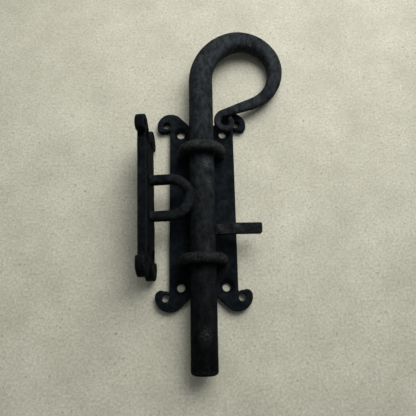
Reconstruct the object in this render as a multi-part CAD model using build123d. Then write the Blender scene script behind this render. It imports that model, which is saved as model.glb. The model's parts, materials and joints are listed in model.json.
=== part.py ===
from build123d import *
import math
import os

# Toggle bolt latch, hand-forged, in millimetres.
# Frame: the backplate's back face lies in z = 0 with its centre at the origin. The bolt runs along Y, its
# handle towards +Y and its nose towards -Y, and +Z points out of the door. The keeper stands on its long
# edge at -X, leaning back a little, with its staple against the bolt.

# --- Stock ---
rod_diameter = 15.9
wire_diameter = 6.6
plate_thickness = 5.0
keeper_thickness = 6.0

# --- Running and riveting clearances ---
rod_lift = 0.3              # bolt above the backplate's face
guide_clearance = 0.5       # bolt to guide staple, radial
keeper_clearance = 0.2      # bolt to keeper staple, radial
rivet_clearance = 0.02      # staple tenon in its plate, radial
turning_gap = 0.05          # toggle tab's saddle to the shank
resting_gap = 0.25          # keeper staple to the bolt it lies against
crook_gap = 0.3             # crook's lowest point above the surface behind the backplate
scroll_gap = 0.45           # crook's scroll to the side of the shank
tip_gap = 0.45              # a curl's tip to its plate's side

# --- Backplate: a strip whose split ends are curled outward ---
plate_half_width = 21.1
plate_half_length = 65.6
plate_lobe_radius = 9.1
plate_curl_radius = 3.6
plate_eye_radius = 2.3
plate_tip_radius = 1.7
plate_screw_x = 14.0
plate_screw_y = 51.0

# --- Keeper plate: the same form, smaller ---
keeper_half_width = 12.7
keeper_half_length = 48.9
keeper_lobe_radius = 8.0
keeper_curl_radius = 3.2
keeper_eye_radius = 2.0
keeper_tip_radius = 1.5
keeper_screw_x = 7.2
keeper_screw_y = 35.5

# --- Where the loose keeper stands ---
keeper_stand = 8.75         # foot of its face to the backplate's side
keeper_centre_y = 1.65
keeper_lean = 2.95          # degrees away from the bolt
keeper_turn = 1.6           # degrees in plan

# --- Scroll details common to both plates ---
lobe_inset = 0.4            # lobe centre inside the plate's side
curl_lean = 6.0             # degrees below level where curl and lobe meet
eye_rise = 0.3              # eye centre above the lobe's, as a share of the eye's radius
tip_rise = 0.4              # a curl's tip above the bottom of its curl

# --- Screw holes ---
screw_hole_diameter = 5.0
screw_head_diameter = 10.0

# --- Staples ---
tenon_diameter = 5.0
rivet_head_diameter = 7.0
rivet_head_depth = 1.0
upper_staple_y = 34.0
lower_staple_y = -35.6
keeper_staple_y = -0.5      # along the keeper plate, from its middle

# --- Bolt ---
nose_y = -100.5
crook_root_y = 84.9
nose_chamfer = 1.4
crook_step = 11.0           # degrees of bend between the crook's sections

# --- Toggle tab ---
tab_y = -17.4
tab_width = 6.6
tab_thickness = 4.6
tab_sink = 1.6              # root's depth inside the shank before its saddle is cut
tab_root_z = 0.6            # root's centre above the bolt's axis
tab_knee = (21.5, 3.7)      # distance out from the bolt's axis, and height above it
tab_reach = 35.8
tab_corner = 1.3

rod_radius = rod_diameter / 2
wire_radius = wire_diameter / 2
rod_z = plate_thickness + rod_lift + rod_radius
bolt_axis = Pos(0, 0, rod_z)

# The crook's centre line: its open eye, then a straight run back towards the shank, then a scroll at its tip.
# Each bend is (radius, degrees turned, bar radius at its end), and right turns are positive.
eye_bends = [(34.0, 68.6, 6.9), (22.2, 111.4, 5.2), (27.4, 67.0, 3.8)]
run_end_radius = 2.7
scroll_bends = [(5.8, -100.0, 2.3), (4.8, -90.0, 2.0), (4.2, -110.0, 1.7)]


def corners():
    """The four quarters of a plate, as signs in x and y."""
    return [(sx, sy) for sx in (1, -1) for sy in (1, -1)]


def scroll_corner(half_width, half_length, lobe_radius, curl_radius, eye_radius, tip_radius):
    """The +x +y quarter of a plate's outline: a tine that swells into a lobe and curls back to the side."""
    lobe = Vector(half_width - lobe_inset, half_length - lobe_radius)
    lean = math.radians(curl_lean)
    curl = lobe + Vector(math.cos(lean), -math.sin(lean)) * (lobe_radius - curl_radius)
    eye = Vector(half_width + eye_radius, lobe.Y + eye_rise * eye_radius)
    tip = Vector(half_width + tip_gap + tip_radius, curl.Y - curl_radius + tip_radius + tip_rise)
    flank = lobe + Vector(-1, 1) * lobe_radius * math.sqrt(0.5)
    notch = Vector(0, flank.Y - flank.X)
    side = [(half_width, lobe.Y), (half_width, 0)]
    quarter = make_face(Polyline((0, 0), notch, flank, lobe, *side, close=True))
    lobe_size = 2 * lobe_radius
    below = Pos(half_width + lobe_radius, curl.Y - lobe_radius) * Rectangle(lobe_size, lobe_size)
    quarter += Pos(lobe) * Circle(lobe_radius) - below
    quarter += Pos(curl) * Circle(curl_radius)
    quarter += Pos(tip) * Circle(tip_radius)
    quarter -= Pos(eye) * Circle(eye_radius)
    slit_height = curl_radius + eye_radius
    slit = Pos(half_width + tip_gap / 2, eye.Y - slit_height / 2) * Rectangle(tip_gap, slit_height)
    return quarter - slit


def scroll_plate(thickness, screw_x, screw_y, *outline):
    """A scrolled plate with its back face on z = 0 and four countersunk screw holes."""
    corner = scroll_corner(*outline)
    half = corner + mirror(corner, Plane.YZ)
    plate = extrude(half + mirror(half, Plane.XZ), thickness)
    screw = Cylinder(screw_hole_diameter / 2, 3 * thickness)
    sink_depth = (screw_head_diameter - screw_hole_diameter) / 2
    sink = Cone(screw_hole_diameter / 2, screw_head_diameter / 2, sink_depth)
    for sx, sy in corners():
        place = Pos(sx * screw_x, sy * screw_y, 0)
        plate -= place * screw
        plate -= place * Pos(0, 0, thickness - sink_depth / 2) * sink
    return plate


def rivet(thickness, clearance):
    """A staple leg's tenon through a plate whose back is z = 0, its headed end flush in a countersink."""
    radius = tenon_diameter / 2 + clearance
    head_radius = rivet_head_diameter / 2 + clearance
    tenon = Pos(0, 0, thickness / 2) * Cylinder(radius, thickness)
    return tenon + Pos(0, 0, rivet_head_depth / 2) * Cone(head_radius, radius, rivet_head_depth)


def staple(thickness, leg_offset, crown_height):
    """A staple astride the Y axis, riveted through a plate whose back is z = 0. Its bend is centred on
    crown_height."""
    line = Line((leg_offset, 0, thickness), (leg_offset, 0, crown_height))
    line += ThreePointArc(line @ 1, (0, 0, crown_height + leg_offset), (-leg_offset, 0, crown_height))
    line += Line((-leg_offset, 0, crown_height), (-leg_offset, 0, thickness))
    body = sweep(Pos(leg_offset, 0, thickness) * Circle(wire_radius), path=line)
    for side in (1, -1):
        body += Pos(side * leg_offset, 0, 0) * rivet(thickness, 0)
    return body


def rivet_holes(thickness, leg_offset):
    """What a staple's two tenons take out of their plate."""
    hole = rivet(thickness, rivet_clearance)
    return [Pos(side * leg_offset, 0, 0) * hole for side in (1, -1)]


def bend_stations(place, heading, radius, bends):
    """Centre, heading in degrees and bar radius at even steps round a row of bends."""
    stations = [(place, heading, radius)]
    for bend, degrees, end_radius in bends:
        steps = math.ceil(abs(degrees) / crook_step)
        turn = degrees / steps
        ahead = 2 * bend * math.sin(math.radians(abs(turn)) / 2)
        start_radius = radius
        for step in range(1, steps + 1):
            middle = math.radians(heading - turn / 2)
            place = place + Vector(math.cos(middle), math.sin(middle)) * ahead
            heading -= turn
            radius = start_radius + (end_radius - start_radius) * step / steps
            stations.append((place, heading, radius))
    return stations


def crook_stations():
    """The crook's stations in its own plane, with the straight run that brings its scroll to the shank."""
    eye = bend_stations(Vector(0, crook_root_y), 90.0, rod_radius, eye_bends)
    run_start, heading, _ = eye[-1]
    scroll = bend_stations(run_start, heading, run_end_radius, scroll_bends)
    ahead = Vector(math.cos(math.radians(heading)), math.sin(math.radians(heading)))
    nearest = min(place.X - radius for place, _, radius in scroll)
    run = (rod_radius + scroll_gap - nearest) / ahead.X
    return eye + [(place + ahead * run, turned, radius) for place, turned, radius in scroll]


def crook_droop(stations):
    """Degrees below level at which the crook lies just clear of the surface behind the backplate."""
    outer = [(place.X, radius) for place, _, radius in stations if place.X > rod_diameter]
    return math.degrees(min(math.asin((rod_z - radius - crook_gap) / reach) for reach, radius in outer))


def crook():
    """The handle: the bar bent over into an open eye, drawn down to a taper and ended in a small scroll."""
    stations = crook_stations()
    sections = []
    for place, heading, radius in stations:
        angle = math.radians(heading)
        along = (math.cos(angle), math.sin(angle), 0)
        plane = Plane(origin=(place.X, place.Y, 0), x_dir=(0, 0, 1), z_dir=along)
        sections.append(plane * Circle(radius))
    return bolt_axis * Rot(0, crook_droop(stations), 0) * loft(sections, ruled=True)


def shank():
    """The round bar that slides and turns in the two guide staples."""
    length = crook_root_y - nose_y
    bar = Rot(-90, 0, 0) * Pos(0, 0, length / 2) * Cylinder(rod_radius, length)
    nose = bar.edges().sort_by(Axis.Y)[0]
    return bolt_axis * Pos(0, nose_y, 0) * chamfer(nose, nose_chamfer)


def tab():
    """The flat tab that stands out of the bolt's side between the staples, cranked near its root."""
    root = (rod_radius - tab_sink, tab_root_z)
    line = FilletPolyline(root, tab_knee, (tab_reach, tab_knee[1]), radius=tab_thickness)
    section = Plane(origin=line @ 0, z_dir=line % 0, x_dir=(0, 0, 1)) * Rectangle(tab_width, tab_thickness)
    bar = sweep(section, path=line)
    tip_edges = bar.faces().sort_by(Axis.X)[-1].edges().filter_by(Axis.Y)
    bar = fillet(tip_edges, tab_corner)
    bar = Rot(90, 0, 0) * bar
    bar -= Rot(90, 0, 0) * Cylinder(rod_radius + turning_gap, 4 * tab_width)
    return bolt_axis * Pos(0, tab_y, 0) * bar


def backplate():
    """The plate that is screwed to the door, with the holes for both guide staples' tenons."""
    body = (plate_half_width, plate_half_length)
    ends = (plate_lobe_radius, plate_curl_radius, plate_eye_radius, plate_tip_radius)
    plate = scroll_plate(plate_thickness, plate_screw_x, plate_screw_y, *body, *ends)
    for y in (upper_staple_y, lower_staple_y):
        for hole in rivet_holes(plate_thickness, guide_leg_offset):
            plate -= Pos(0, y, 0) * hole
    return plate


def keeper_plate():
    """The plate that is screwed to the frame, lying flat, before it is stood on edge."""
    body = (keeper_half_width, keeper_half_length)
    ends = (keeper_lobe_radius, keeper_curl_radius, keeper_eye_radius, keeper_tip_radius)
    plate = scroll_plate(keeper_thickness, keeper_screw_x, keeper_screw_y, *body, *ends)
    for hole in rivet_holes(keeper_thickness, keeper_leg_offset):
        plate -= Pos(0, keeper_staple_y, 0) * Rot(0, 0, 90) * hole
    return plate


def keeper_reach():
    """How far the keeper's staple stands out before it bends, for its crown to lie against the bolt."""
    lean = math.radians(keeper_lean)
    out = Vector(math.cos(lean), math.sin(lean))
    up = Vector(-math.sin(lean), math.cos(lean))
    middle = Vector(keeper_foot_x, -rod_z) + up * keeper_half_height
    contact = rod_radius + wire_radius + resting_gap
    crown = -middle.dot(out) - math.sqrt(contact**2 - middle.dot(up) ** 2)
    return crown - keeper_leg_offset - keeper_thickness


guide_leg_offset = rod_radius + guide_clearance + wire_radius
keeper_leg_offset = rod_radius + keeper_clearance + wire_radius
keeper_half_height = keeper_half_width - lobe_inset + keeper_lobe_radius
keeper_foot_x = -(plate_half_width + keeper_stand + keeper_thickness)
keeper_tilt = Rot(0, 0, keeper_turn) * Rot(0, -keeper_lean, 0)
keeper_foot = Pos(keeper_foot_x, keeper_centre_y, 0)
keeper_place = keeper_foot * keeper_tilt * Pos(0, 0, keeper_half_height) * Rot(0, 90, 0)

guide_staple = staple(plate_thickness, guide_leg_offset, rod_z)
keeper_loop = staple(keeper_thickness, keeper_leg_offset, keeper_thickness + keeper_reach())

nodes = {
    "backplate": backplate(),
    "upper_guide_staple": Pos(0, upper_staple_y, 0) * guide_staple,
    "lower_guide_staple": Pos(0, lower_staple_y, 0) * guide_staple,
    "bolt_shank": shank(),
    "crook_handle": crook(),
    "toggle_tab": tab(),
    "keeper_plate": keeper_place * keeper_plate(),
    "keeper_staple": keeper_place * Pos(0, keeper_staple_y, 0) * Rot(0, 0, 90) * keeper_loop,
}

os.makedirs("parts", exist_ok=True)
for name, shape in nodes.items():
    shape.label = name
    export_step(shape, f"parts/{name}.step")
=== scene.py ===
import json
import math

import bmesh
import bpy
import numpy as np
from mathutils import Matrix, Vector, noise


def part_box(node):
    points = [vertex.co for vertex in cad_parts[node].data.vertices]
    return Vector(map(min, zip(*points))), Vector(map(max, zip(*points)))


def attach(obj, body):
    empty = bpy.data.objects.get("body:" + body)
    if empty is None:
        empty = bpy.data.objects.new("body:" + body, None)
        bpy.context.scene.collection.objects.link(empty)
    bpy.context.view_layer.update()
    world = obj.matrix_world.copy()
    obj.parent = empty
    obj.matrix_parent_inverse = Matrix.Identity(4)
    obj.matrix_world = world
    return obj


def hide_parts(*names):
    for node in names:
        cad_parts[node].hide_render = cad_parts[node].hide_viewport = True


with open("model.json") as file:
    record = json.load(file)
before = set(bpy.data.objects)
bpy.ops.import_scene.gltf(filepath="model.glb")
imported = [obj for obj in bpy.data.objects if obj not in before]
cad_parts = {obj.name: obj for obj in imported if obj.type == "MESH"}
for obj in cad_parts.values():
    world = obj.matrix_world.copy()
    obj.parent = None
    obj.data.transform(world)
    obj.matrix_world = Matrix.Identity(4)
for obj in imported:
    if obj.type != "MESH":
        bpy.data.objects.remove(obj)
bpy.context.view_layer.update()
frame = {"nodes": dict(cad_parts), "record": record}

# Hand-forged toggle bolt latch in blackened iron, in metres, lying on a pale table.
# World axes: the bolt runs along Y with its crook towards +Y, and +Z points up from the table.

MM = 0.001

# --- Sizes read from the frame ---
shank_low, shank_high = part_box("bolt_shank")
plate_low, plate_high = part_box("backplate")
keeper_low, keeper_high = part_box("keeper_plate")
tab_low, tab_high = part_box("toggle_tab")
keeper_staple_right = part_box("keeper_staple")[1].x

rod_radius = (shank_high.x - shank_low.x) / 2
axis_z = (shank_high.z + shank_low.z) / 2
nose_y = shank_low.y
crook_root_y = shank_high.y
plate_face_z = plate_high.z

# --- The crook, as on the part ---
# Each bend is (radius, degrees turned, bar radius at its end), and all but the gaps are in millimetres.
eye_bends = [(34.0, 68.6, 6.9), (22.2, 111.4, 5.2), (27.4, 67.0, 3.8)]
run_end_radius = 2.7
scroll_bends = [(5.8, -100.0, 2.3), (4.8, -90.0, 2.0), (4.2, -110.0, 1.7)]
scroll_gap = 0.45 * MM
crook_gap = 0.3 * MM

# --- Sizes that the boxes don't give, as on the part ---
wire_radius = 3.3 * MM
guide_clearance = 0.5 * MM
keeper_clearance = 0.2 * MM
keeper_thickness = 6.0 * MM
keeper_staple_shift = -0.5 * MM
tenon_radius = 2.5 * MM
rivet_head_radius = 3.5 * MM
rivet_head_depth = 1.0 * MM

# --- Forging that the part leaves out ---
crook_flatness = 0.82                   # the drawn bar's height over its width
crook_squareness = 2.8                  # exponent of its section
crook_forging = 6.0                     # how soon the section changes as the bar is drawn down
nose_round = 2.4 * MM
cold_shut_heading = -10.0               # the bar's heading there, in degrees
cold_shut_inset = 2.4 * MM
cold_shut_length = 4.6 * MM
cold_shut_width = 0.55 * MM
cold_shut_depth = 0.55 * MM
chip_size = np.array((0.8, 1.3)) * MM
hole_wall_share = 0.15                  # how much of the hammering reaches the walls of a plate's holes
pit_share = 0.35                        # how much of the surface is pitted

# --- Sections and mesh fineness ---
round_section = 2                       # exponent of a round section; a larger one is squarer
staple_section = 2.15
bar_facets = 72
wire_facets = 40
ring_step = 0.7 * MM
leg_step = 0.5 * MM
nose_steps = 8
crown_steps = 60

# --- How fine each noise is, in cells to the metre ---
patch_noise = 48.0
mottle_noise = 150.0
flake_noise = 330.0
grain_noise = 620.0
fleck_noise = 900.0
floor_cloud_noise = 26.0
floor_fleck_noise = 420.0
floor_grain_noise = 650.0

# --- Table, light and camera ---
table_half = 1.6
table_drop = 0.05 * MM                  # keeps the floor clear of the backs that lie on it
window_place = (0.24, 0.44, 0.54)
window_aim = (0.0, 0.13, 0.0)
window_size = 0.6
window_spread = 84                      # degrees
window_power = 1.6
window_colour = (1.0, 0.99, 0.955)
room_colour = (0.93, 0.97, 1.0)
room_bright_side = Vector((0.05, 0.65, 0.75)).normalized()
room_strength = (0.06, 0.34)
camera_tilt = 15.3                      # degrees from straight down
camera_roll = -1.058                    # degrees
camera_aim = Vector((3.448 * MM, 0.287 * MM, 0))
camera_distance = 0.2767
camera_lens = 36.78


# ---------------------------------------------------------------- mesh helpers

def new_object(name, mesh):
    """Links a mesh to the scene as a named object."""
    piece = bpy.data.objects.new(name, mesh)
    bpy.context.scene.collection.objects.link(piece)
    return piece


def read_points(mesh):
    points = np.empty(len(mesh.vertices) * 3)
    mesh.vertices.foreach_get("co", points)
    return points.reshape(-1, 3)


def write_points(mesh, points):
    mesh.vertices.foreach_set("co", points.astype(np.float32).ravel())
    mesh.update()


def read_normals(mesh):
    normals = np.empty(len(mesh.vertices) * 3, np.float32)
    mesh.vertex_normals.foreach_get("vector", normals)
    return normals.reshape(-1, 3).astype(float)


def neighbour_mean(mesh, points):
    """The mean place of each point's neighbours."""
    ends = np.empty(len(mesh.edges) * 2, np.int32)
    mesh.edges.foreach_get("vertices", ends)
    first, second = ends.reshape(-1, 2).T
    count = np.bincount(first, minlength=len(points)) + np.bincount(second, minlength=len(points))
    total = np.empty_like(points)
    for axis in range(3):
        total[:, axis] = np.bincount(first, points[second, axis], len(points))
        total[:, axis] += np.bincount(second, points[first, axis], len(points))
    return total / np.maximum(count, 1)[:, None]


def relax(mesh, rounds):
    """Softens a mesh's edges, as a hammer and the fire do."""
    points = read_points(mesh)
    for _ in range(rounds):
        points += 0.5 * (neighbour_mean(mesh, points) - points)
    write_points(mesh, points)


def hammer_marks(points, size, seed):
    """From 0 to 1 at each point, deepest in the middle of each shallow hammer mark."""
    offset = Vector((seed * 7.31, seed * 3.17, seed * 5.83))
    marks = np.empty(len(points))
    for index, point in enumerate(points):
        place = Vector(point) / size + offset
        distance = noise.voronoi(place)[0][0]
        swell = 0.5 + 0.5 * noise.noise(place * 0.6)
        marks[index] = 0.6 * max(0.0, 1 - 1.4 * distance * distance) + 0.4 * swell
    return marks


def pits(points, size, seed):
    """From 0 to 1 at each point, deepest in the middle of each scale pit."""
    offset = Vector((seed * 2.9, seed * 8.7, seed * 1.3))
    depth = np.empty(len(points))
    for index, point in enumerate(points):
        depth[index] = noise.noise(Vector(point) / size + offset)
    return np.clip((depth - 0.5 + pit_share) / pit_share, 0, 1)


def forging_depth(points, seed, blow_depth, blow_size, pit_depth, pit_size):
    """How far hammering and pitting sink each point, in metres, from depths and sizes in millimetres."""
    depth = blow_depth * MM * hammer_marks(points, blow_size * MM, seed)
    return depth + pit_depth * MM * pits(points, pit_size * MM, seed + 1)


def mount(name):
    """A mount's place and outward direction, from the record."""
    record = next(m for m in frame["record"]["mounts"] if m["name"] == name)
    return Vector(record["pos_m"]), Vector(record["axis"]).normalized()


def backplate_holes():
    """The centres of the backplate's screw holes, which stand at a rectangle's corners."""
    pattern = next(m for m in frame["record"]["mounts"] if m["name"] == "backplate_screws")
    across = pattern["dims"]["spacing_x_mm"] * MM / 2
    along = pattern["dims"]["spacing_y_mm"] * MM / 2
    return [Vector((sx * across, sy * along, 0)) for sx in (1, -1) for sy in (1, -1)]


def keeper_holes():
    names = [m["name"] for m in frame["record"]["mounts"] if m["name"].startswith("keeper_screw")]
    return [mount(name)[0] for name in names]


def flat_share(mesh, out):
    """How much of the hammering each point takes: all on a plate's faces, little on its holes' walls."""
    return hole_wall_share + (1 - hole_wall_share) * np.abs(read_normals(mesh) @ np.array(out))


def dishes(mesh, centres, out, depth, radius):
    """How far the metal is sunk round each screw hole, on the front only, where the sink was hammered in."""
    points = read_points(mesh)
    front = np.clip(read_normals(mesh) @ np.array(out), 0, 1)
    sunk = np.zeros(len(points))
    for centre in centres:
        offset = points - np.array(centre)
        offset -= (offset @ np.array(out))[:, None] * np.array(out)
        distance = np.linalg.norm(offset, axis=1)
        sunk = np.maximum(sunk, np.exp(-((distance / radius) ** 4)))
    return depth * sunk * front


def rubbed_and_highlight_patches(points, patches):
    """From 0 to 1 at each point, round each patch's (centre, radius, strength)."""
    rubbed_and_lit = np.zeros(len(points))
    for centre, radius, strength in patches:
        distance = np.linalg.norm(points - np.array(centre), axis=1)
        rubbed_and_lit = np.maximum(rubbed_and_lit, strength * np.exp(-((distance / radius) ** 2)))
    return rubbed_and_lit


def press_in(mesh, depth):
    """Moves each point inwards along its normal by its own depth."""
    points = read_points(mesh) - read_normals(mesh) * depth[:, None]
    write_points(mesh, points)


def store_wear_and_highlight(mesh, gain, chips_and_highlights=None):
    """Keeps how far each point stands prouder than the rest, where the black scale rubs off first, together
    with any patches given: chips and rubbed places, and on the tab painted highlights.
    """
    points = read_points(mesh)
    proud = ((points - neighbour_mean(mesh, points)) * read_normals(mesh)).sum(1) / MM
    wear_and_highlight = np.clip((proud - np.median(proud)) * gain, 0, 1)
    if chips_and_highlights is not None:
        wear_and_highlight = np.maximum(wear_and_highlight, chips_and_highlights)
    layer = mesh.attributes.new("wear_and_highlight", "FLOAT", "POINT")
    layer.data.foreach_set("value", wear_and_highlight.astype(np.float32))


def shade_smooth(mesh):
    mesh.polygons.foreach_set("use_smooth", np.ones(len(mesh.polygons), bool))


def keep_inside(mesh, low, high):
    """Holds every point inside the part's own box."""
    points = np.clip(read_points(mesh), np.array(low), np.array(high))
    write_points(mesh, points)


def node_mesh(node):
    """A welded copy of a part's own mesh."""
    mesh = frame["nodes"][node].data.copy()
    work = bmesh.new()
    work.from_mesh(mesh)
    bmesh.ops.remove_doubles(work, verts=work.verts, dist=0.001 * MM)
    work.to_mesh(mesh)
    work.free()
    return mesh


def drop_islands(mesh):
    """Removes everything but a mesh's largest connected surface."""
    work = bmesh.new()
    work.from_mesh(mesh)
    waiting, islands = set(work.verts), []
    while waiting:
        island = {waiting.pop()}
        edge_of = list(island)
        while edge_of:
            near = {e.other_vert(v) for v in edge_of for e in v.link_edges} & waiting
            waiting -= near
            island |= near
            edge_of = list(near)
        islands.append(island)
    islands.sort(key=len)
    loose = [vert for island in islands[:-1] for vert in island]
    bmesh.ops.delete(work, geom=loose, context="VERTS")
    work.to_mesh(mesh)
    work.free()


def remeshed(node, name, voxel):
    """A part's own shape as an even mesh of small quads, this many millimetres across, ready to be worked."""
    source = node_mesh(node)
    source.transform(Matrix.Scale(1 / MM, 4))
    carrier = new_object(name, source)
    modifier = carrier.modifiers.new("even", "REMESH")
    modifier.mode = "VOXEL"
    modifier.voxel_size = voxel
    graph = bpy.context.evaluated_depsgraph_get()
    mesh = bpy.data.meshes.new_from_object(carrier.evaluated_get(graph))
    drop_islands(mesh)
    mesh.transform(Matrix.Scale(MM, 4))
    mesh.materials.clear()
    carrier.modifiers.clear()
    carrier.data = mesh
    mesh.name = name
    bpy.data.meshes.remove(source)
    return carrier


def bar_mesh(name, rings, around):
    """A closed bar through rings of (centre, side, up, half width, half height, squareness)."""
    work = bmesh.new()
    loops = []
    for centre, side, up, half_width, half_height, squareness in rings:
        power = 2 / squareness
        loop = []
        for step in range(around):
            angle = math.tau * step / around
            c, s = math.cos(angle), math.sin(angle)
            x = half_width * math.copysign(abs(c) ** power, c)
            y = half_height * math.copysign(abs(s) ** power, s)
            loop.append(work.verts.new(centre + side * x + up * y))
        loops.append(loop)
    for before, after in zip(loops, loops[1:]):
        for step in range(around):
            ahead = (step + 1) % around
            work.faces.new((before[step], before[ahead], after[ahead], after[step]))
    for loop, centre in ((loops[0], rings[0][0]), (loops[-1], rings[-1][0])):
        hub = work.verts.new(centre)
        for step in range(around):
            work.faces.new((loop[step], loop[(step + 1) % around], hub))
    bmesh.ops.recalc_face_normals(work, faces=work.faces)
    mesh = bpy.data.meshes.new(name)
    work.to_mesh(mesh)
    work.free()
    return mesh


def end_rings(ring, shares):
    """Rings that close a bar's flat end, shrinking towards its centre."""
    centre, side, up, half_width, half_height, squareness = ring
    return [(centre, side, up, half_width * share, half_height * share, squareness) for share in shares]


def place_piece(piece, body, slot, material, *nodes):
    """Gives a finished piece its body, the parts it stands for and its material; its slot is not used."""
    shade_smooth(piece.data)
    piece.data.materials.append(material)
    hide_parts(*nodes)
    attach(piece, body)


# ---------------------------------------------------------------- materials

def link(tree, source, target):
    tree.links.new(source, target)


def noise_texture(tree, coordinates, scale, detail, roughness=0.55):
    node = tree.nodes.new("ShaderNodeTexNoise")
    node.inputs["Scale"].default_value = scale
    node.inputs["Detail"].default_value = detail
    node.inputs["Roughness"].default_value = roughness
    link(tree, coordinates, node.inputs["Vector"])
    return node.outputs["Fac"]


def ramp(tree, value, *stops):
    """A colour ramp through (position, colour) stops."""
    node = tree.nodes.new("ShaderNodeValToRGB")
    band = node.color_ramp
    while len(band.elements) < len(stops):
        band.elements.new(0.5)
    for element, (position, colour) in zip(band.elements, stops):
        element.position = position
        element.color = (*colour, 1)
    link(tree, value, node.inputs["Fac"])
    return node.outputs["Color"]


def mixed(tree, factor, first, second, kind="MIX"):
    node = tree.nodes.new("ShaderNodeMix")
    node.data_type = "RGBA"
    node.blend_type = kind
    link(tree, factor, node.inputs["Factor"])
    for socket, value in (("A", first), ("B", second)):
        target = [i for i in node.inputs if i.name == socket and i.type == "RGBA"][0]
        if isinstance(value, tuple):
            target.default_value = (*value, 1)
        else:
            link(tree, value, target)
    return [o for o in node.outputs if o.type == "RGBA"][0]


def product(tree, first, second):
    node = tree.nodes.new("ShaderNodeMath")
    node.operation = "MULTIPLY"
    link(tree, first, node.inputs[0])
    link(tree, second, node.inputs[1])
    return node.outputs[0]


def scaled(tree, colour, factor):
    """A colour made lighter or darker by a factor."""
    node = tree.nodes.new("ShaderNodeVectorMath")
    node.operation = "SCALE"
    link(tree, colour, node.inputs[0])
    link(tree, factor, node.inputs["Scale"])
    return node.outputs["Vector"]


def map_range(tree, value, low, high, to_low, to_high):
    node = tree.nodes.new("ShaderNodeMapRange")
    node.inputs["From Min"].default_value = low
    node.inputs["From Max"].default_value = high
    node.inputs["To Min"].default_value = to_low
    node.inputs["To Max"].default_value = to_high
    link(tree, value, node.inputs["Value"])
    return node.outputs["Result"]


def bump(tree, height, distance, strength, after=None):
    node = tree.nodes.new("ShaderNodeBump")
    node.inputs["Distance"].default_value = distance
    node.inputs["Strength"].default_value = strength
    link(tree, height, node.inputs["Height"])
    if after is not None:
        link(tree, after, node.inputs["Normal"])
    return node.outputs["Normal"]


def stretched(tree, coordinates, streak):
    """Coordinates that draw a texture out along the bolt where streak is below 1."""
    node = tree.nodes.new("ShaderNodeVectorMath")
    node.operation = "MULTIPLY"
    node.inputs[1].default_value = (1.0, streak, 1.0)
    link(tree, coordinates, node.inputs[0])
    return node.outputs["Vector"]


def scale_colour(tree, mottle, grain, scale, dark, light):
    """Mottled black scale with a finer speckle over it."""
    colour = ramp(tree, mottle, (0.36, dark), (0.66, light))
    speckle = ramp(tree, scale, (0.38, (0.35, 0.35, 0.35)), (0.62, (1.75, 1.75, 1.75)))
    return mixed(tree, map_range(tree, grain, 0.3, 0.7, 0.5, 1.0), colour, speckle, "MULTIPLY")


def scuffed(tree, colour, coordinates, fleck, rubbed_and_lit, scuff):
    """Paler scuffs, in broad patches that are broken into flecks."""
    patch = noise_texture(tree, coordinates, patch_noise, 3.0, 0.6)
    spread = map_range(tree, patch, 0.54, 0.7, 0.0, scuff)
    share = product(tree, spread, map_range(tree, fleck, 0.46, 0.66, 0.0, 1.0))
    return mixed(tree, share, colour, rubbed_and_lit)


def painted_shade_along_y(tree, colour, coordinates, painted_shade):
    """Painted shade: scales the colour along Y, from the first factor at the nose, where the shade is
    deepest, to the second at the mirrored place.
    """
    along = tree.nodes.new("ShaderNodeSeparateXYZ")
    link(tree, coordinates, along.inputs[0])
    return scaled(tree, colour, map_range(tree, along.outputs["Y"], nose_y, -nose_y, *painted_shade))


def rubbed_bare_and_highlight(tree, colour, fleck, rubbed_and_lit):
    """Bare iron where the stored attribute says that the scale has rubbed off, and on the tab a painted
    highlight in the same pale colour.
    """
    layer = tree.nodes.new("ShaderNodeAttribute")
    layer.attribute_name = "wear_and_highlight"
    share = product(tree, layer.outputs["Fac"], map_range(tree, fleck, 0.4, 0.62, 0.1, 1.0))
    return mixed(tree, share, colour, rubbed_and_lit)


def forged_iron(name, dark, light, rubbed_and_lit, gloss, scuff, painted_shade, streak=1.0):
    """Blackened forged iron: mottled scale, paler scuffs, rubbed edges, a fine grain, and a painted shade
    that darkens it along Y towards the nose.
    """
    material = bpy.data.materials.new(name)
    material.use_nodes = True
    tree = material.node_tree
    shader = tree.nodes["Principled BSDF"]
    shader.inputs["Metallic"].default_value = 0.0
    shader.inputs["IOR"].default_value = 1.5
    shader.inputs["Specular IOR Level"].default_value = 0.035
    coordinates = tree.nodes.new("ShaderNodeTexCoord").outputs["Object"]

    drawn = stretched(tree, coordinates, streak)
    mottle = noise_texture(tree, drawn, mottle_noise, 6.0, 0.65)
    grain = noise_texture(tree, coordinates, grain_noise, 3.0)
    scale = noise_texture(tree, drawn, flake_noise, 5.0, 0.6)
    fleck = noise_texture(tree, coordinates, fleck_noise, 2.0)

    colour = scale_colour(tree, mottle, grain, scale, dark, light)
    colour = scuffed(tree, colour, coordinates, fleck, rubbed_and_lit, scuff)
    # Painted shade along Y, darker towards the nose.
    colour = painted_shade_along_y(tree, colour, coordinates, painted_shade)
    colour = rubbed_bare_and_highlight(tree, colour, fleck, rubbed_and_lit)
    link(tree, colour, shader.inputs["Base Color"])

    link(tree, map_range(tree, scale, 0.3, 0.7, *gloss), shader.inputs["Roughness"])
    coarse = bump(tree, scale, 0.3 * MM, 0.6)
    link(tree, bump(tree, grain, 0.1 * MM, 0.6, coarse), shader.inputs["Normal"])
    return material


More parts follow.
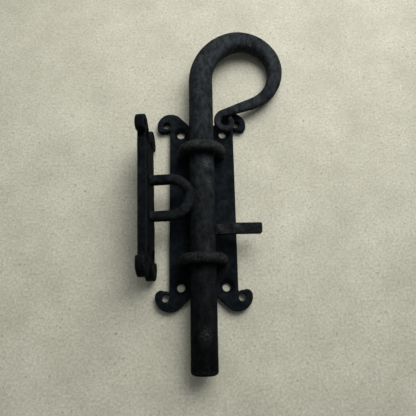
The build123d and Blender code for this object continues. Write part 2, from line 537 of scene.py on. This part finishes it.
# Each iron: darkest and lightest scale, rubbed colour, roughness range, scuff strength, painted shade,
# perhaps streak.
# The painted shade is a fade of the colour along Y, darker towards the nose and lighter towards the crook,
# standing in for the light that falls off and the soft shadow over the nose end. The staples stand between
# its ends, and show only its middle.
plate_iron = forged_iron("plate_iron", (0.0042, 0.0064, 0.0086), (0.0080, 0.0110, 0.0140),
                         (0.026, 0.031, 0.035), (0.6, 0.8), 0.3, (0.8, 1.2))
staple_iron = forged_iron("staple_iron", (0.0110, 0.0125, 0.0128), (0.0230, 0.0255, 0.0255),
                          (0.070, 0.074, 0.072), (0.58, 0.75), 0.25, (-0.15, 1.75))
loop_iron = forged_iron("loop_iron", (0.0050, 0.0062, 0.0075), (0.0125, 0.0142, 0.0165),
                        (0.050, 0.055, 0.056), (0.58, 0.75), 0.3, (0.6, 1.2))
bolt_iron = forged_iron("bolt_iron", (0.0080, 0.0096, 0.0112), (0.0140, 0.0164, 0.0186),
                        (0.085, 0.095, 0.095), (0.56, 0.75), 0.16, (0.08, 1.95), 0.6)
# The tab's rubbed colour also paints its highlights, on the root and the knee.
tab_iron = forged_iron("tab_iron", (0.0040, 0.0050, 0.0057), (0.0165, 0.0188, 0.0200),
                       (0.085, 0.095, 0.095), (0.55, 0.72), 0.3, (0.9, 1.1))
keeper_iron = forged_iron("keeper_iron", (0.0016, 0.0027, 0.0036), (0.0076, 0.0100, 0.0118),
                          (0.034, 0.040, 0.043), (0.58, 0.76), 0.4, (0.6, 1.2))


# ---------------------------------------------------------------- bolt

def bend_stations(place, heading, radius, bends):
    """Centre, heading in degrees and bar radius at short even steps round a row of bends."""
    stations = [(place, heading, radius)]
    for bend, degrees, end_radius in bends:
        length = bend * MM * math.radians(abs(degrees))
        steps = math.ceil(length / ring_step)
        turn = degrees / steps
        start_radius = radius
        for step in range(1, steps + 1):
            middle = math.radians(heading - turn / 2)
            place = place + Vector((math.cos(middle), math.sin(middle))) * length / steps
            heading -= turn
            radius = start_radius + (end_radius * MM - start_radius) * step / steps
            stations.append((place, heading, radius))
    return stations


def crook_line():
    """The crook's stations in its own plane, with the straight run that brings its scroll to the shank."""
    eye = bend_stations(Vector((0, crook_root_y)), 90.0, rod_radius, eye_bends)
    run_start, heading, start_radius = eye[-1]
    end_radius = run_end_radius * MM
    scroll = bend_stations(run_start, heading, end_radius, scroll_bends)
    angle = math.radians(heading)
    ahead = Vector((math.cos(angle), math.sin(angle)))
    nearest = min(place.x - radius for place, _, radius in scroll)
    run = (rod_radius + scroll_gap - nearest) / ahead.x
    steps = math.ceil(run / ring_step)
    straight = []
    for step in range(1, steps):
        share = step / steps
        radius = start_radius + (end_radius - start_radius) * share
        straight.append((run_start + ahead * run * share, heading, radius))
    return eye + straight + [(place + ahead * run, turned, radius) for place, turned, radius in scroll]


def crook_droop(stations):
    """How far the crook hangs below level, in radians, to lie just clear of the table."""
    outer = [(place.x, radius) for place, _, radius in stations if place.x > 2 * rod_radius]
    return min(math.asin((axis_z - radius - crook_gap) / reach) for reach, radius in outer)


def bolt_rings():
    """The bar from its rounded nose up to the scroll at the crook's tip."""
    stations = crook_line()
    tilt = Matrix.Rotation(crook_droop(stations), 3, "Y")
    axis = Vector((0, 0, axis_z))
    rings = []
    side = tilt @ Vector((1, 0, 0))
    up = tilt @ Vector((0, 0, 1))
    for step in range(nose_steps):
        angle = math.pi / 2 * step / nose_steps
        radius = rod_radius - nose_round * (1 - math.sin(angle))
        centre = axis + Vector((0, nose_y + nose_round * (1 - math.cos(angle)), 0))
        rings.append((centre, side, up, radius, radius, round_section))
    for y in np.arange(nose_y + nose_round, crook_root_y, ring_step):
        rings.append((axis + Vector((0, y, 0)), side, up, rod_radius, rod_radius, round_section))
    for place, heading, radius in stations:
        angle = math.radians(heading)
        side = tilt @ Vector((math.sin(angle), -math.cos(angle), 0))
        centre = axis + tilt @ Vector((place.x, place.y, 0))
        forged = min(1, crook_forging * (1 - radius / rod_radius))
        flat = 1 - (1 - crook_flatness) * forged
        square = round_section + (crook_squareness - round_section) * forged
        rings.append((centre, side, up, radius, radius * flat, square))
    first = end_rings(rings[0], (0.25, 0.5, 0.75))
    last = end_rings(rings[-1], (0.8, 0.4))
    return first + rings + last


def cold_shut(points):
    """A short groove across the crook's top, where the iron folded over itself, and the chip at its end."""
    stations = crook_line()
    place = next(place for place, heading, _ in stations if heading <= cold_shut_heading)
    tilt = np.array(Matrix.Rotation(crook_droop(stations), 3, "Y"))
    offset = (points - np.array((0, 0, axis_z))) @ tilt - np.array((place.x, place.y - cold_shut_inset, 0))
    upper = offset[:, 2] > 0
    along = np.abs(offset[:, 1]) < cold_shut_length / 2
    groove = np.exp(-((offset[:, 0] / cold_shut_width) ** 2)) * along * upper
    chip_offset = offset[:, :2] - np.array((cold_shut_width, -cold_shut_length / 2))
    chip = np.exp(-((np.linalg.norm(chip_offset / chip_size, axis=1)) ** 4)) * upper
    return cold_shut_depth * groove, chip


def bolt_scuffs():
    """Small rubbed places along the bar, as (centre, radius, strength)."""
    top = axis_z + 0.9 * rod_radius
    return [((3.0 * MM, 24.0 * MM, top), 3.4 * MM, 0.6), ((1.5 * MM, -78.0 * MM, top), 3.2 * MM, 0.45),
            ((4.5 * MM, 12.0 * MM, top), 2.6 * MM, 0.45), ((3.0 * MM, -30.0 * MM, top), 2.0 * MM, 0.35),
            ((-7.4 * MM, 72.0 * MM, axis_z + 0.35 * rod_radius), 0.9 * MM, 1.0)]


def make_bolt():
    mesh = bar_mesh("bolt_bar", bolt_rings(), bar_facets)
    piece = new_object("bolt_bar", mesh)
    points = read_points(mesh)
    depth = forging_depth(points, 3, blow_depth=0.16, blow_size=8, pit_depth=0.05, pit_size=1.6)
    groove, chip = cold_shut(points)
    press_in(mesh, depth + groove)
    store_wear_and_highlight(mesh, 6, np.maximum(chip, rubbed_and_highlight_patches(points, bolt_scuffs())))
    place_piece(piece, "handle", "bolt_iron", bolt_iron, "bolt_shank", "crook_handle")


# ---------------------------------------------------------------- staples

def leg_profile(shoulder):
    """Height and radius up a leg: its rivet head, its tenon in the plate, and the wire above the plate."""
    return [(0.0, rivet_head_radius), (0.3 * MM, rivet_head_radius * 0.93), (rivet_head_depth, tenon_radius),
            (shoulder - 0.4 * MM, tenon_radius), (shoulder - 0.35 * MM, wire_radius * 0.96),
            (shoulder + 0.3 * MM, wire_radius)]


def staple_rings(leg_offset, shoulder, crown):
    """A staple in its own upright plane: x across, z up, from its left rivet head round to the right."""
    out = Vector((0, 1, 0))
    stations = []
    for height, radius in leg_profile(shoulder):
        stations.append((Vector((-leg_offset, 0, height)), 90.0, radius))
    for height in np.arange(shoulder + 0.8 * MM, crown, leg_step):
        stations.append((Vector((-leg_offset, 0, height)), 90.0, wire_radius))
    for index in range(crown_steps + 1):
        turn = math.pi * index / crown_steps
        centre = Vector((-leg_offset * math.cos(turn), 0, crown + leg_offset * math.sin(turn)))
        stations.append((centre, 90 - math.degrees(turn), wire_radius))
    rings = []
    for centre, heading, radius in stations:
        angle = math.radians(heading)
        side = Vector((math.sin(angle), 0, -math.cos(angle)))
        rings.append((centre, side, out, radius, radius, staple_section))
    mirrored = []
    for centre, side, up, half_width, half_height, squareness in reversed(rings[: -crown_steps - 1]):
        mirrored.append((Vector((-centre.x, 0, centre.z)), -side, up, half_width, half_height, squareness))
    rings += mirrored
    return end_rings(rings[0], (0.3, 0.65)) + rings + end_rings(rings[-1], (0.65, 0.3))


def make_staple(node, body, material, rings, place, seed):
    name = "visual_" + node
    mesh = bar_mesh(name, rings, wire_facets)
    mesh.transform(place)
    piece = new_object(name, mesh)
    points = read_points(mesh)
    press_in(mesh, forging_depth(points, seed, blow_depth=0.08, blow_size=5, pit_depth=0.04, pit_size=1.2))
    store_wear_and_highlight(mesh, 25)
    keep_inside(mesh, *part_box(node))
    place_piece(piece, body, "staple_iron", material, node)


def make_guide_staples():
    leg_offset = rod_radius + guide_clearance + wire_radius
    rings = staple_rings(leg_offset, plate_face_z, axis_z)
    for seed, node in ((11, "upper_guide_staple"), (17, "lower_guide_staple")):
        low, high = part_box(node)
        place = Matrix.Translation((0, (low.y + high.y) / 2, 0))
        make_staple(node, "latch_plate", staple_iron, rings, place, seed)


def make_keeper_staple():
    """The keeper's staple, square to its leaning plate, with its crown against the bolt."""
    leg_offset = rod_radius + keeper_clearance + wire_radius
    back, axis = mount("keeper_back")
    out = -axis
    along = Vector((-out.y, out.x, 0)).normalized()
    up = out.cross(along)
    crown_tip = keeper_staple_right - wire_radius
    crown = (crown_tip - back.x) / out.x - leg_offset
    rings = staple_rings(leg_offset, keeper_thickness, crown)
    turn = Matrix((along, up, out)).transposed().to_4x4()
    place = Matrix.Translation(back + along * keeper_staple_shift) @ turn
    make_staple("keeper_staple", "keeper", loop_iron, rings, place, 23)


# ---------------------------------------------------------------- plates and tab

def work_plate(mesh, depth, out, holes, sink_depth, sink_radius):
    """Hammers a plate's faces and sinks the metal round its screw holes."""
    depth = depth * flat_share(mesh, out) + dishes(mesh, holes, out, sink_depth, sink_radius)
    press_in(mesh, depth)
    store_wear_and_highlight(mesh, 12)


def make_plate():
    piece = remeshed("backplate", "scrolled_backplate", 0.4)
    mesh = piece.data
    relax(mesh, 7)
    depth = forging_depth(read_points(mesh), 31, blow_depth=0.22, blow_size=9, pit_depth=0.06, pit_size=2)
    work_plate(mesh, depth, Vector((0, 0, 1)), backplate_holes(), 0.5 * MM, 6.2 * MM)
    keep_inside(mesh, plate_low, plate_high)
    place_piece(piece, "latch_plate", "plate_iron", plate_iron, "backplate")


def make_keeper_plate():
    piece = remeshed("keeper_plate", "scrolled_keeper_plate", 0.42)
    mesh = piece.data
    relax(mesh, 7)
    depth = forging_depth(read_points(mesh), 41, blow_depth=0.25, blow_size=8, pit_depth=0.06, pit_size=2)
    work_plate(mesh, depth, -mount("keeper_back")[1], keeper_holes(), 0.4 * MM, 6.0 * MM)
    keep_inside(mesh, keeper_low, keeper_high)
    place_piece(piece, "keeper", "keeper_iron", keeper_iron, "keeper_plate")


def make_tab():
    piece = remeshed("toggle_tab", "cranked_toggle_tab", 0.22)
    mesh = piece.data
    relax(mesh, 8)
    points = read_points(mesh)
    press_in(mesh, forging_depth(points, 51, blow_depth=0.18, blow_size=5, pit_depth=0.04, pit_size=1.4))
    # Lighter patches at the tab's root and its knee: painted highlights where the bend catches the light, on
    # edges that are also rubbed.
    middle = (tab_low.y + tab_high.y) / 2
    root = (rod_radius + 3 * MM, middle + 1.5 * MM, tab_high.z - 2 * MM)
    knee = (tab_low.x + 0.45 * (tab_high.x - tab_low.x), middle + 2 * MM, tab_high.z)
    store_wear_and_highlight(mesh, 14, rubbed_and_highlight_patches(points, [(root, 2.2 * MM, 0.5), (knee, 1.8 * MM, 0.45)]))
    keep_inside(mesh, tab_low, tab_high)
    place_piece(piece, "handle", "tab_iron", tab_iron, "toggle_tab")


# ---------------------------------------------------------------- table, light, camera

def pale_floor():
    """Pale matt stone colour, clouded, flecked and grainy."""
    material = bpy.data.materials.new("pale_table")
    material.use_nodes = True
    tree = material.node_tree
    shader = tree.nodes["Principled BSDF"]
    coordinates = tree.nodes.new("ShaderNodeTexCoord").outputs["Object"]
    cloud = noise_texture(tree, coordinates, floor_cloud_noise, 6.0, 0.7)
    fleck = noise_texture(tree, coordinates, floor_fleck_noise, 2.0)
    colour = ramp(tree, cloud, (0.32, (0.53, 0.515, 0.41)), (0.68, (0.68, 0.665, 0.545)))
    spots = ramp(tree, fleck, (0.28, (0.45, 0.42, 0.36)), (0.36, (1.0, 1.0, 1.0)))
    grain = noise_texture(tree, coordinates, floor_grain_noise, 6.0, 0.7)
    colour = scaled(tree, colour, map_range(tree, grain, 0.3, 0.7, 0.74, 1.24))
    factor = map_range(tree, cloud, 0.3, 0.7, 0.2, 0.9)
    link(tree, mixed(tree, factor, colour, spots, "MULTIPLY"), shader.inputs["Base Color"])
    shader.inputs["Roughness"].default_value = 0.65
    return material


def make_table():
    """The floor that the latch lies on."""
    mesh = bpy.data.meshes.new("table")
    corners = [(sx * table_half, sy * table_half, 0) for sx, sy in ((-1, -1), (1, -1), (1, 1), (-1, 1))]
    mesh.from_pydata(corners, [], [(0, 1, 2, 3)])
    table = new_object("table", mesh)
    table.location.z = -table_drop
    mesh.materials.append(pale_floor())


def make_window():
    """A large soft lamp from the upper right, beyond the crook."""
    lamp = bpy.data.lights.new("window", "AREA")
    lamp.size = window_size
    lamp.spread = math.radians(window_spread)
    lamp.energy = window_power
    lamp.color = window_colour
    holder = bpy.data.objects.new("window", lamp)
    holder.location = window_place
    holder.rotation_euler = (Vector(window_aim) - Vector(window_place)).to_track_quat("-Z", "Y").to_euler()
    bpy.context.scene.collection.objects.link(holder)


def make_room():
    """A faint room light, brighter overhead and beyond the crook."""
    world = bpy.data.worlds.new("room")
    world.use_nodes = True
    tree = world.node_tree
    background = tree.nodes["Background"]
    direction = tree.nodes.new("ShaderNodeTexCoord").outputs["Generated"]
    facing = tree.nodes.new("ShaderNodeVectorMath")
    facing.operation = "DOT_PRODUCT"
    facing.inputs[1].default_value = room_bright_side
    link(tree, direction, facing.inputs[0])
    brightness = map_range(tree, facing.outputs["Value"], 0.1, 0.95, *room_strength)
    background.inputs["Color"].default_value = (*room_colour, 1)
    link(tree, brightness, background.inputs["Strength"])
    bpy.context.scene.world = world
    bpy.context.scene.view_settings.view_transform = "Standard"


def make_camera():
    """Looks down on the latch from a little towards its nose."""
    tilt = math.radians(camera_tilt)
    roll = math.radians(camera_roll)
    back = Vector((0, -math.sin(tilt), math.cos(tilt)))
    level = Vector((1, 0, 0))
    rise = Vector((0, math.cos(tilt), math.sin(tilt)))
    right = level * math.cos(roll) + rise * math.sin(roll)
    up = rise * math.cos(roll) - level * math.sin(roll)
    lens = bpy.data.cameras.new("camera")
    lens.sensor_width = 36
    lens.lens = camera_lens
    lens.clip_start = 0.01
    camera = bpy.data.objects.new("camera", lens)
    turn = Matrix((right, up, back)).transposed().to_4x4()
    camera.matrix_world = Matrix.Translation(camera_aim + back * camera_distance) @ turn
    bpy.context.scene.collection.objects.link(camera)
    bpy.context.scene.camera = camera


make_plate()
make_guide_staples()
make_bolt()
make_tab()
make_keeper_plate()
make_keeper_staple()
make_table()
make_window()
make_room()
make_camera()
